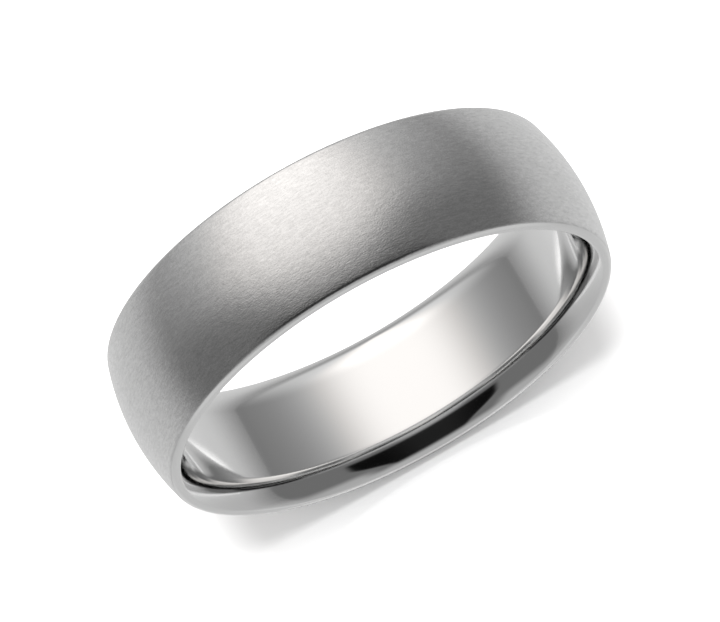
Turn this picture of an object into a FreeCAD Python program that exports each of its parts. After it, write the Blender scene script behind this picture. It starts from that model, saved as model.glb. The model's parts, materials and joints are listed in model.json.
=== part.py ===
import FreeCAD, Part
import math
import os

# A wedding band: one ring of white precious metal, turned from a single blank.
#
# Millimetres.  The band stands on its rim as on a table.  The origin is the centre of the finger bore,
# the bore's axis lies along Y, and +Z is up.  The band is a section, drawn in the plane X = 0 and carried
# once round Y.  The section has a gently domed outside, a narrow flat face at each edge of the band, and
# a comfort-fit bore: straight in the middle, and opening out in an arc towards each edge.

# Driving dimensions
BORE_RADIUS = 9.92        # finger size 10 on the American scale, 19.84 mm across
BAND_WIDTH = 6.5          # along the finger, from edge face to edge face
CROWN_THICKNESS = 1.54    # wall at the middle of the band, from the bore to the top of the dome
DOME_DROP = 0.49          # how far the dome falls from its crown to the plane of an edge face
STRAIGHT_LENGTH = 3.6     # length of the straight middle of the bore
EDGE_FACE_WIDTH = 0.14    # radial width of the flat ring that is left at each edge
OUTER_EDGE_RADIUS = 0.3   # rounding between the dome and an edge face
INNER_EDGE_RADIUS = 0.15  # rounding between an edge face and the bore

# Sizes worked out from them
HALF_WIDTH = BAND_WIDTH / 2
HALF_STRAIGHT = STRAIGHT_LENGTH / 2
CROWN_RADIUS = BORE_RADIUS + CROWN_THICKNESS

FULL_TURN = 360.0
ORIGIN = FreeCAD.Vector(0, 0, 0)
BORE_AXIS = FreeCAD.Vector(0, 1, 0)


def section_point(along, radius):
    """A point of the section: its place along the bore's axis, and its distance from that axis."""
    return FreeCAD.Vector(0, along, radius)


def mirrored(point):
    """The same point on the other half of the band."""
    return FreeCAD.Vector(point.x, -point.y, point.z)


def arc_radius(run, fall):
    """Radius of an arc that starts level and has fallen by fall after a run along the band."""
    return (run ** 2 + fall ** 2) / (2 * fall)


def comfort_arc_radius(face_bottom_radius):
    """Radius of the bore's comfort arc.

    The arc touches the straight middle of the bore where that ends, and it touches the inner rounding,
    whose centre is run along the band from there and depth further out than the bore.
    """
    run = HALF_WIDTH - INNER_EDGE_RADIUS - HALF_STRAIGHT
    depth = face_bottom_radius - BORE_RADIUS
    return (run ** 2 + depth ** 2 - INNER_EDGE_RADIUS ** 2) / (2 * (depth - INNER_EDGE_RADIUS))


def line(start, end):
    """A straight edge of the section."""
    return Part.LineSegment(start, end).toShape()


def arc(centre, radius, start, end):
    """An arc edge of the section round centre, under half a turn, from start to end."""
    chord_middle = (start + end) * 0.5
    away = chord_middle - centre
    middle = centre + away * (radius / away.Length)
    return Part.Arc(start, middle, end).toShape()


def touching_point(arc_centre, radius, rounding_centre):
    """Where an arc runs into the smaller circle of a rounding that lies inside the arc's circle."""
    way = rounding_centre - arc_centre
    return arc_centre + way * (radius / way.Length)


def band_section():
    """The closed section of the band, as a face: both halves are the same."""
    dome_radius = arc_radius(HALF_WIDTH, DOME_DROP)
    dome_centre = section_point(0, CROWN_RADIUS - dome_radius)
    outer_run = HALF_WIDTH - OUTER_EDGE_RADIUS
    outer_lift = math.sqrt((dome_radius - OUTER_EDGE_RADIUS) ** 2 - outer_run ** 2)
    outer_centre = dome_centre + section_point(outer_run, outer_lift)
    face_top = outer_centre + BORE_AXIS * OUTER_EDGE_RADIUS
    face_bottom = face_top - section_point(0, EDGE_FACE_WIDTH)
    inner_centre = face_bottom - BORE_AXIS * INNER_EDGE_RADIUS
    comfort_radius = comfort_arc_radius(face_bottom.z)
    straight_end = section_point(HALF_STRAIGHT, BORE_RADIUS)
    comfort_centre = section_point(HALF_STRAIGHT, BORE_RADIUS + comfort_radius)
    dome_end = touching_point(dome_centre, dome_radius, outer_centre)
    comfort_end = touching_point(comfort_centre, comfort_radius, inner_centre)
    half = [
        arc(outer_centre, OUTER_EDGE_RADIUS, dome_end, face_top),
        line(face_top, face_bottom),
        arc(inner_centre, INNER_EDGE_RADIUS, face_bottom, comfort_end),
        arc(comfort_centre, comfort_radius, comfort_end, straight_end),
    ]
    other_half = [edge.mirror(ORIGIN, BORE_AXIS) for edge in half]
    dome = arc(dome_centre, dome_radius, mirrored(dome_end), dome_end)
    straight = line(mirrored(straight_end), straight_end)
    edges = Part.sortEdges(half + other_half + [dome, straight])[0]
    return Part.Face(Part.Wire(edges))


def make_band():
    """The whole band: its section carried once round the bore's axis."""
    return band_section().revolve(ORIGIN, BORE_AXIS, FULL_TURN)


def main():
    os.makedirs("parts", exist_ok=True)
    band = make_band()
    band.exportStep("parts/band.step")
    print("band:", band.ShapeType, "valid", band.isValid(), "volume", round(band.Volume, 2), "mm3")


main()
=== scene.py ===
"""A wedding band of white precious metal: satin outside, polished in the bore, standing on its rim."""

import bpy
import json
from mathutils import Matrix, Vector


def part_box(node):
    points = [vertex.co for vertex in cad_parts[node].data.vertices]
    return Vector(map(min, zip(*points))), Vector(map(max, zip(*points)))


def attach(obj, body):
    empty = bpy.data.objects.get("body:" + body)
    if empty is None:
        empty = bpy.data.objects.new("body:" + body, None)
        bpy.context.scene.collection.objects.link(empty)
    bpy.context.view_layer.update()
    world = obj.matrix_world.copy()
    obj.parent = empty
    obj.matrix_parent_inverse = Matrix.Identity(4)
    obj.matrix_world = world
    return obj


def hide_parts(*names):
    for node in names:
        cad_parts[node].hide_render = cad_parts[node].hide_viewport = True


bl_info = {
    "name": "Wedding Band",
    "version": (1, 0, 0),
    "blender": (4, 5, 0),
    "location": "3D View > Sidebar > Wedding Band",
    "description": "Makes a satin wedding band with a polished comfort-fit bore, and the studio around it",
    "category": "Add Mesh",
}

import json
import math

import bpy
import numpy as np
from bpy.props import FloatProperty, FloatVectorProperty, IntProperty, PointerProperty
from mathutils import Matrix

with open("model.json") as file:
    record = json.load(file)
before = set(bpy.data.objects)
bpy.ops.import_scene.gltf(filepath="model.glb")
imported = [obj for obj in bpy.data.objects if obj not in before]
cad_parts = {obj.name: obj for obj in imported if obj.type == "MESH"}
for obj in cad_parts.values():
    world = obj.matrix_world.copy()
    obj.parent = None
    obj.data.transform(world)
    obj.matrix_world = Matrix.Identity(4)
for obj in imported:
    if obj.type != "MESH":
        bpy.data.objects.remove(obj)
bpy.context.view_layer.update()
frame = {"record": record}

MM = 0.001
LOW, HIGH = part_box("band")
BORE = next(m for m in frame["record"]["mounts"] if m["name"] == "finger_bore")

# steps along each arc of the section
DOME_STEPS, OUTER_STEPS, INNER_STEPS, COMFORT_STEPS = 12, 10, 8, 24

# the satin stops this far inside the crown, and the bore's polish this far outside the bore
SATIN_END, SATIN_BLEND = 0.54 * MM, 0.05 * MM
BORE_END, BORE_BLEND = 0.50 * MM, 0.12 * MM

# the satin's strokes: length round the finger and width along it, and the slow bend that moves them
FINE_STROKE = 0.15 * MM, 0.05 * MM
BROAD_STROKE = 0.42 * MM, 0.11 * MM
BEND_SIZE, BEND_SHIFT = 1.6 * MM, 0.04 * MM
GRAIN_SIZE = 0.07 * MM
FINE_RELIEF, BROAD_RELIEF, RELIEF_HEIGHT = 0.9, 0.7, 0.004 * MM
DULL, MEAN_DULLNESS = 0.60, 0.40
FINE_MOTTLE, GRAIN_MOTTLE, BROAD_MOTTLE = 0.5, 0.6, 0.9

NOISE_MEAN = 0.5

# the glow overhead: its middle in degrees from straight up, the turn at which it has fallen to half, how
# steeply it falls, and the tilt at which it is full
GLOW_MIDDLE, GLOW_HALF, GLOW_POWER, GLOW_FULL = -3.5, 42, 4, 23
# the middle of the dark opening in front, and the half width of its soft side
OPENING_MIDDLE, OPENING_SOFT = 1, 2.5
CORNER_LEVEL, LOW_LEVEL = 0.5, 0.55
WHITE, WARM_WHITE = (1, 1, 1, 1), (1.03, 1, 0.977, 1)

# smooth steps of the light: from, to, and the values at the two ends; tilts and turns are in degrees, and
# heights run from -1 straight down to 1 straight up
WALL_BY_TILT = 18, 82, 0.19, 0.79
GLOW_BY_TILT = 45, 82, 1.10, 0.55
GLOW_START_BY_TURN = 5, 55, -16, 11
OPENING_HALF_BY_TILT = -54, -24, 26, 44
OPENING_BY_TILT = -13, -6, 1, 0
OPENING_LEVEL_BY_TURN = 5, 32, 0.018, 0.005
CORNER_BY_TILT, CORNER_BY_TURN = (-50, -37, 1, 0), (38, 56, 0, 1)
LOW_BY_TILT = -62, -50, 1, 0
GROUND_BY_HEIGHT, DEEP_GROUND_BY_HEIGHT = (-0.42, 0.10, 0.70, 0.24), (-0.95, -0.3, 0.14, 0)
GROUND_BY_TILT = -25, 12, 0.72, 0.95
FRONT_BY_TILT, FRONT_BY_HEIGHT = (-45, -31, 1, 0), (-0.35, -0.05, 0.68, 0.46)
HORIZON = -0.10, 0.14, 1, 0
WARMTH_BY_GLOW = 0.15, 0.6, 0, 1

# the floor: smooth steps beside, near and under the band, how much of the floor shows in reflections far
# from it, its white, and the dark grey of the painted shade under the band
BESIDE = 6 * MM, 9.5 * MM, 1, 0
NEAR = 3.4 * MM, 4.8 * MM, 1, 0
PAINTED_SHADE_REACH = 3.2 * MM, 3.9 * MM, 1, 0
FAR_FLOOR = 0.04
PAPER, PAINTED_SHADE_COLOUR = (0.9, 0.9, 0.9, 1), (0.25, 0.25, 0.25, 1)
FLOOR_REACH = 2.0

# the lamp's soft width and lean, where the camera's axis passes the band's centre, and what it sees between
KEY_WIDTH, KEY_LEAN = math.radians(30), math.radians(-7)
CAMERA_SHIFT = 0.004 * MM, 0.128 * MM
CLIP_START, CLIP_END = 0.01, 10


# ---------------------------------------------------------------- settings

class BandSizes(bpy.types.PropertyGroup):
    """The band's section, which is carried once round the finger."""

    bore_radius: FloatProperty(
        name="Bore Radius", description="Radius of the straight middle of the bore",
        default=BORE["dims"]["r_mm"] * MM, unit="LENGTH")
    width: FloatProperty(
        name="Width", description="Length along the finger, from edge face to edge face",
        default=HIGH.y - LOW.y, unit="LENGTH")
    crown_radius: FloatProperty(
        name="Crown Radius", description="Radius of the outside at the top of its dome",
        default=-LOW.z, unit="LENGTH")
    dome_drop: FloatProperty(
        name="Dome Drop", description="How far the dome falls from its crown to the plane of an edge face",
        default=0.49 * MM, unit="LENGTH")
    straight: FloatProperty(
        name="Straight Length", description="Length of the straight middle of the bore",
        default=BORE["dims"]["length_mm"] * MM, unit="LENGTH")
    edge_face: FloatProperty(
        name="Edge Face Width", description="Width of the flat ring on each side, across the wall",
        default=0.14 * MM, unit="LENGTH")
    outer_round: FloatProperty(
        name="Outer Rounding", description="Radius between the dome and an edge face",
        default=0.30 * MM, unit="LENGTH")
    inner_round: FloatProperty(
        name="Inner Rounding", description="Radius between an edge face and the bore",
        default=0.15 * MM, unit="LENGTH")
    turns: IntProperty(
        name="Steps Round", description="Number of steps round the finger", default=720)


class BandFinish(bpy.types.PropertyGroup):
    """The metal's colour and how its surfaces are worked."""

    colour: FloatVectorProperty(
        name="Metal", description="Colour of the bare metal", subtype="COLOR", size=3,
        default=(0.75, 0.75, 0.748))
    satin: FloatProperty(
        name="Satin Roughness", description="Roughness of the brushed outside",
        default=0.25, subtype="FACTOR")
    edge: FloatProperty(
        name="Edge Roughness", description="Roughness of the edge faces", default=0.13, subtype="FACTOR")
    polish: FloatProperty(
        name="Polish Roughness", description="Roughness of the polished bore", default=0.075, subtype="FACTOR")


class Studio(bpy.types.PropertyGroup):
    """The camera, the floor and the soft light."""

    elevation: FloatProperty(
        name="Camera Elevation", description="Height of the camera above the horizon",
        default=math.radians(67.375), subtype="ANGLE", unit="ROTATION")
    roll: FloatProperty(
        name="Camera Roll", description="How far the camera is turned about its own axis",
        default=math.radians(29.556), subtype="ANGLE", unit="ROTATION")
    distance: FloatProperty(
        name="Camera Distance", description="From the band's centre to the camera",
        default=362.93 * MM, unit="LENGTH")
    lens: FloatProperty(
        name="Focal Length", description="Focal length of the lens in millimetres", default=408.2,
        unit="CAMERA")
    key: FloatProperty(
        name="Key Light", description="Strength of the soft lamp that lights the floor", default=3.9)


# ---------------------------------------------------------------- shader maths

class Field:
    """A node's output that can be used in sums: each operator adds the Math node that it names."""

    def __init__(self, maker, socket):
        self.maker = maker
        self.socket = socket

    def math(self, operation, *values):
        return self.maker.node("ShaderNodeMath", {"operation": operation}, dict(enumerate((self, *values))))

    def flipped(self, operation, value):
        return self.maker.node("ShaderNodeMath", {"operation": operation}, {0: value, 1: self})

    def __add__(self, value):
        return self.math("ADD", value)

    def __radd__(self, value):
        return self.flipped("ADD", value)

    def __sub__(self, value):
        return self.math("SUBTRACT", value)

    def __rsub__(self, value):
        return self.flipped("SUBTRACT", value)

    def __mul__(self, value):
        return self.math("MULTIPLY", value)

    def __rmul__(self, value):
        return self.flipped("MULTIPLY", value)

    def __truediv__(self, value):
        return self.math("DIVIDE", value)

    def __rtruediv__(self, value):
        return self.flipped("DIVIDE", value)

    def __pow__(self, value):
        return self.math("POWER", value)

    def __abs__(self):
        return self.math("ABSOLUTE")

    def between(self, start, end, first=0, last=1):
        """The value first below start, last above end, and a smooth step between them."""
        return self.maker.node(
            "ShaderNodeMapRange", {"interpolation_type": "SMOOTHSTEP"},
            {"Value": self, "From Min": start, "From Max": end, "To Min": first, "To Max": last})

    def blend(self, other, factor):
        """This value where the factor is 0, and the other where it is 1."""
        return self * (1 - factor) + other * factor


class Maker:
    """Adds nodes to one tree."""

    def __init__(self, tree):
        self.tree = tree
        tree.nodes.clear()

    def node(self, kind, settings=None, inputs=None, output=0):
        """A node of that type, with its settings made first, then its sockets' values or links."""
        made = self.tree.nodes.new(kind)
        for name, value in (settings or {}).items():
            setattr(made, name, value)
        for name, value in (inputs or {}).items():
            if isinstance(value, Field):
                self.tree.links.new(value.socket, made.inputs[name])
            else:
                made.inputs[name].default_value = value
        return Field(self, made.outputs[output]) if made.outputs else made

    def parts(self, vector):
        """The x, y and z of a vector."""
        split = self.node("ShaderNodeSeparateXYZ", {}, {0: vector})
        return [Field(self, socket) for socket in split.socket.node.outputs]

    def vector(self, x, y, z):
        return self.node("ShaderNodeCombineXYZ", {}, {0: x, 1: y, 2: z})

    def noise(self, vector, scale, detail=2.0):
        return self.node(
            "ShaderNodeTexNoise", {"noise_dimensions": "3D"},
            {"Vector": vector, "Scale": scale, "Detail": detail, "Roughness": 0.5})

    def mix_colour(self, factor, first, second):
        return self.node(
            "ShaderNodeMix", {"data_type": "RGBA"}, {0: factor, 6: first, 7: second}, output=2)


# ---------------------------------------------------------------- the band's shape

def arc_radius(run, fall):
    """Radius of an arc that starts level and has fallen by fall after a run."""
    return (run ** 2 + fall ** 2) / (2 * fall)


def arc_points(centre, radius, start, end, steps):
    """Points of a circle round centre, from the angle start to end: 0 points along the finger's axis."""
    angle = np.linspace(start, end, steps + 1)
    return centre + radius * np.stack([np.cos(angle), np.sin(angle)], axis=1)


def half_section(sizes):
    """One half of the band's section, from its crown round the edge to the middle of the bore.

    Columns are the place along the axis and the radius.  The dome is an arc that falls by dome_drop over
    half the width, and it runs into the edge face by an arc that touches both.  The bore is straight, then
    opens out on an arc that touches the straight part and the edge face's inner rounding.
    """
    half = sizes.width / 2
    dome = arc_radius(half, sizes.dome_drop)
    dome_centre = np.array([0, sizes.crown_radius - dome])
    outer_turn = math.acos((half - sizes.outer_round) / (dome - sizes.outer_round))
    outer_way = np.array([math.cos(outer_turn), math.sin(outer_turn)])
    outer_centre = dome_centre + (dome - sizes.outer_round) * outer_way
    inner_centre = np.array([half - sizes.inner_round, outer_centre[1] - sizes.edge_face])
    run = inner_centre[0] - sizes.straight / 2
    depth = inner_centre[1] - sizes.bore_radius
    comfort = (run ** 2 + depth ** 2 - sizes.inner_round ** 2) / (2 * (depth - sizes.inner_round))
    comfort_centre = np.array([sizes.straight / 2, sizes.bore_radius + comfort])
    inner_turn = math.acos(run / (comfort - sizes.inner_round))
    quarter = math.pi / 2
    return np.vstack([
        arc_points(dome_centre, dome, quarter, outer_turn, DOME_STEPS),
        arc_points(outer_centre, sizes.outer_round, outer_turn, 0, OUTER_STEPS)[1:],
        arc_points(inner_centre, sizes.inner_round, 0, -inner_turn, INNER_STEPS),
        arc_points(comfort_centre, comfort, -inner_turn, -quarter, COMFORT_STEPS)[1:],
        [[0, sizes.bore_radius]],
    ])


def revolved(section, steps):
    """The closed surface that a closed section makes when it is carried once round the Y axis.

    A point at place a and radius r of the section goes to (r sin t, a, r cos t), where t is the angle from
    the top of the band.  The grid closes both ways, so there is no seam.
    """
    turn = np.arange(steps) * (2 * math.pi / steps)
    along, radius = section[:, 0], section[:, 1]
    points = np.empty((steps, len(section), 3))
    points[..., 0] = np.sin(turn)[:, None] * radius
    points[..., 1] = along
    points[..., 2] = np.cos(turn)[:, None] * radius
    index = np.arange(points.shape[0] * points.shape[1]).reshape(points.shape[:2])
    next_turn = np.roll(index, -1, axis=0)
    faces = np.stack([
        index, next_turn, np.roll(next_turn, -1, axis=1), np.roll(index, -1, axis=1)], axis=-1)
    return points.reshape(-1, 3), faces.reshape(-1, 4)


def mesh_object(name, points, faces, material):
    """A smooth mesh object at the origin, with one material."""
    mesh = bpy.data.meshes.new(name)
    mesh.from_pydata(points, [], faces)
    mesh.polygons.foreach_set("use_smooth", np.ones(len(faces), bool))
    mesh.materials.append(material)
    mesh.update()
    made = bpy.data.objects.new(name, mesh)
    bpy.context.scene.collection.objects.link(made)
    return made


# ---------------------------------------------------------------- finishes

def white_metal(sizes, finish):
    """White metal: brushed satin round the outside, and polished on the rims and in the bore."""
    material = bpy.data.materials.new("white_metal")
    material.use_nodes = True
    make = Maker(material.node_tree)
    place = make.node("ShaderNodeTexCoord", output=3)
    x, y, z = make.parts(place)
    radius = (x * x + z * z) ** 0.5
    # the satin ends on the rounding between the dome and the edge face, where the rim's polish starts
    satin_end = sizes.crown_radius - SATIN_END
    outside = radius.between(satin_end, satin_end + SATIN_BLEND)
    bore_end = sizes.bore_radius + BORE_END
    bore = radius.between(bore_end, bore_end + BORE_BLEND, 1, 0)
    across = y + make.noise(place, 1 / BEND_SIZE) * BEND_SHIFT

    def strokes(length, width, detail=2.0):
        """Noise drawn out into strokes of that length round the finger and that width along it."""
        return make.noise(make.vector(x / length, across / width, z / length), 1.0, detail)

    fine = strokes(*FINE_STROKE)
    broad = strokes(*BROAD_STROKE, 3.0)
    grain = make.noise(place, 1 / GRAIN_SIZE, 1.0)
    relief = (fine * FINE_RELIEF + broad * BROAD_RELIEF + grain) * outside
    roughness = finish.edge + (finish.satin - finish.edge) * outside
    roughness = roughness.blend(finish.polish, bore)
    # the strokes also show as duller metal, a little more or less than the mean
    mottle = MEAN_DULLNESS + FINE_MOTTLE * (fine - NOISE_MEAN) + GRAIN_MOTTLE * (grain - NOISE_MEAN)
    mottle = mottle + BROAD_MOTTLE * (broad - NOISE_MEAN)
    dull = [DULL * part for part in finish.colour]
    colour = make.mix_colour(mottle * outside, (*finish.colour, 1), (*dull, 1))
    bump = make.node("ShaderNodeBump", {}, {"Strength": 1.0, "Distance": RELIEF_HEIGHT, "Height": relief})
    shader = make.node("ShaderNodeBsdfPrincipled", {}, {
        "Base Color": colour, "Metallic": 1.0, "Roughness": roughness, "Normal": bump})
    make.node("ShaderNodeOutputMaterial", {}, {"Surface": shader})
    return material


# ---------------------------------------------------------------- operators

class WEDDINGBAND_OT_band(bpy.types.Operator):
    """Make the band in place of its CAD solid"""

    bl_idname = "weddingband.band"
    bl_label = "Make Band"

    def execute(self, context):
        sizes = context.scene.band_sizes
        half = half_section(sizes)
        other = half[1:-1][::-1] * np.array([-1, 1])
        points, faces = revolved(np.vstack([half, other]), sizes.turns)
        band = mesh_object("satin_band", points, faces, white_metal(sizes, context.scene.band_finish))
        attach(band, "root")
        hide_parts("band")
        return {"FINISHED"}


def studio_light(world):
    """Soft light by direction: a glow overhead, walls that are paler behind, and a dark opening in front.

    A direction is given by its turn about the band's axis from straight up and by its tilt towards the back,
    both in degrees.  The glow falls off as one over one plus the fourth power of the turn, and it starts at
    a tilt that rises with the turn.  The opening is a span of turns, wider where it is higher.  Low in front the
    light is even, and below the horizon it follows the direction's height.  The camera and the floor get
    plain white.
    """
    world.use_nodes = True
    make = Maker(world.node_tree)
    x, y, z = make.parts(make.node("ShaderNodeTexCoord", output=0))
    degrees = 180 / math.pi
    around = make.node("ShaderNodeMath", {"operation": "ARCTAN2"}, {0: x, 1: z}) * degrees
    turn = abs(around - GLOW_MIDDLE)
    tilt = y.math("ARCSINE") * degrees
    wall = tilt.between(*WALL_BY_TILT)
    glow = tilt.between(*GLOW_BY_TILT)
    glow_start = turn.between(*GLOW_START_BY_TURN)
    lit = (1 / (1 + (turn / GLOW_HALF) ** GLOW_POWER)) * tilt.between(glow_start, GLOW_FULL)
    sky = wall + glow * lit
    past_side = abs(around - OPENING_MIDDLE) - tilt.between(*OPENING_HALF_BY_TILT)
    opening = past_side.between(-OPENING_SOFT, OPENING_SOFT, 1, 0) * tilt.between(*OPENING_BY_TILT)
    sky = sky.blend(turn.between(*OPENING_LEVEL_BY_TURN), opening)
    sky = sky.blend(CORNER_LEVEL, tilt.between(*CORNER_BY_TILT) * turn.between(*CORNER_BY_TURN))
    sky = sky.blend(LOW_LEVEL, tilt.between(*LOW_BY_TILT))
    ground = z.between(*GROUND_BY_HEIGHT) + z.between(*DEEP_GROUND_BY_HEIGHT)
    ground = ground * tilt.between(*GROUND_BY_TILT)
    ground = ground.blend(z.between(*FRONT_BY_HEIGHT), tilt.between(*FRONT_BY_TILT))
    light = sky.blend(ground, z.between(*HORIZON))
    camera_ray = make.node("ShaderNodeLightPath", output=0)
    diffuse_ray = make.node("ShaderNodeLightPath", output=2)
    light = light.blend(1, camera_ray + diffuse_ray)
    warmth = lit.between(*WARMTH_BY_GLOW) * (1 - camera_ray)
    tint = make.mix_colour(warmth, WHITE, WARM_WHITE)
    background = make.node("ShaderNodeBackground", {}, {"Color": tint, "Strength": light})
    make.node("ShaderNodeOutputWorld", {}, {"Surface": background})


def floor_material():
    """White paper, plain for the camera; in reflections it shows near the band only, with a painted shade under
    it.
    """
    material = bpy.data.materials.new("floor_white_painted_shade")
    material.use_nodes = True
    make = Maker(material.node_tree)
    x, y, _ = make.parts(make.node("ShaderNodeTexCoord", output=3))
    beside = abs(x).between(*BESIDE)
    near = FAR_FLOOR + (1 - FAR_FLOOR) * beside * abs(y).between(*NEAR)
    camera_ray = make.node("ShaderNodeLightPath", output=0)
    # painted shade: in reflections the paper under the band is mixed to dark grey, standing in for the band's
    # shadow there
    painted_shade = beside * abs(y).between(*PAINTED_SHADE_REACH) * (1 - camera_ray)
    white = make.node("ShaderNodeBsdfDiffuse", {}, {"Color": PAPER})
    painted_shade_paper = make.node("ShaderNodeBsdfDiffuse", {}, {"Color": PAINTED_SHADE_COLOUR})
    paper_and_painted_shade = make.node("ShaderNodeMixShader", {}, {0: painted_shade, 1: white, 2: painted_shade_paper})
    clear = make.node("ShaderNodeBsdfTransparent")
    shader = make.node("ShaderNodeMixShader", {}, {0: near.blend(1, camera_ray), 1: clear, 2: paper_and_painted_shade})
    make.node("ShaderNodeOutputMaterial", {}, {"Surface": shader})
    return material


class WEDDINGBAND_OT_stage(bpy.types.Operator):
    """Make the floor, the soft light and the camera"""

    bl_idname = "weddingband.stage"
    bl_label = "Make Stage"

    def execute(self, context):
        scene = context.scene
        studio = scene.band_studio
        scene.world = bpy.data.worlds.new("soft_studio")
        studio_light(scene.world)
        square = np.array([[-1, -1, 0], [1, -1, 0], [1, 1, 0], [-1, 1, 0]])
        corners = square * FLOOR_REACH + [0, 0, LOW.z]
        floor = mesh_object("floor", corners, [[0, 1, 2, 3]], floor_material())
        key = bpy.data.lights.new("key", "SUN")
        key.energy = studio.key
        key.angle = KEY_WIDTH
        lamp = bpy.data.objects.new("key", key)
        lamp.rotation_euler = (KEY_LEAN, 0, 0)
        lamp.visible_glossy = False
        scene.collection.objects.link(lamp)
        camera = bpy.data.cameras.new("camera")
        camera.lens = studio.lens
        camera.clip_start = CLIP_START
        camera.clip_end = CLIP_END
        viewer = bpy.data.objects.new("camera", camera)
        scene.collection.objects.link(viewer)
        spin = Matrix.Rotation(math.pi / 2 - studio.elevation, 4, "X") @ Matrix.Rotation(-studio.roll, 4, "Z")
        viewer.matrix_world = spin @ Matrix.Translation((*CAMERA_SHIFT, studio.distance))
        scene.camera = viewer
        scene.view_settings.view_transform = "Standard"
        return {"FINISHED"}


class WEDDINGBAND_PT_panel(bpy.types.Panel):
    """The band's sizes, finishes and pieces"""

    bl_idname = "WEDDINGBAND_PT_panel"
    bl_label = "Wedding Band"
    bl_space_type = "VIEW_3D"
    bl_region_type = "UI"
    bl_category = "Wedding Band"

    def draw(self, context):
        for group in (context.scene.band_sizes, context.scene.band_finish, context.scene.band_studio):
            box = self.layout.box()
            for name in group.__annotations__:
                box.prop(group, name)
        for operator in PIECES:
            self.layout.operator(operator)


PIECES = ("weddingband.band", "weddingband.stage")
CLASSES = (BandSizes, BandFinish, Studio, WEDDINGBAND_OT_band, WEDDINGBAND_OT_stage, WEDDINGBAND_PT_panel)


def register():
    for made in CLASSES:
        bpy.utils.register_class(made)
    bpy.types.Scene.band_sizes = PointerProperty(type=BandSizes)
    bpy.types.Scene.band_finish = PointerProperty(type=BandFinish)
    bpy.types.Scene.band_studio = PointerProperty(type=Studio)


def unregister():
    del bpy.types.Scene.band_studio
    del bpy.types.Scene.band_finish
    del bpy.types.Scene.band_sizes
    for made in reversed(CLASSES):
        bpy.utils.unregister_class(made)


def main():
    register()
    bpy.ops.weddingband.band()
    bpy.ops.weddingband.stage()


if __name__ == "__main__":
    main()
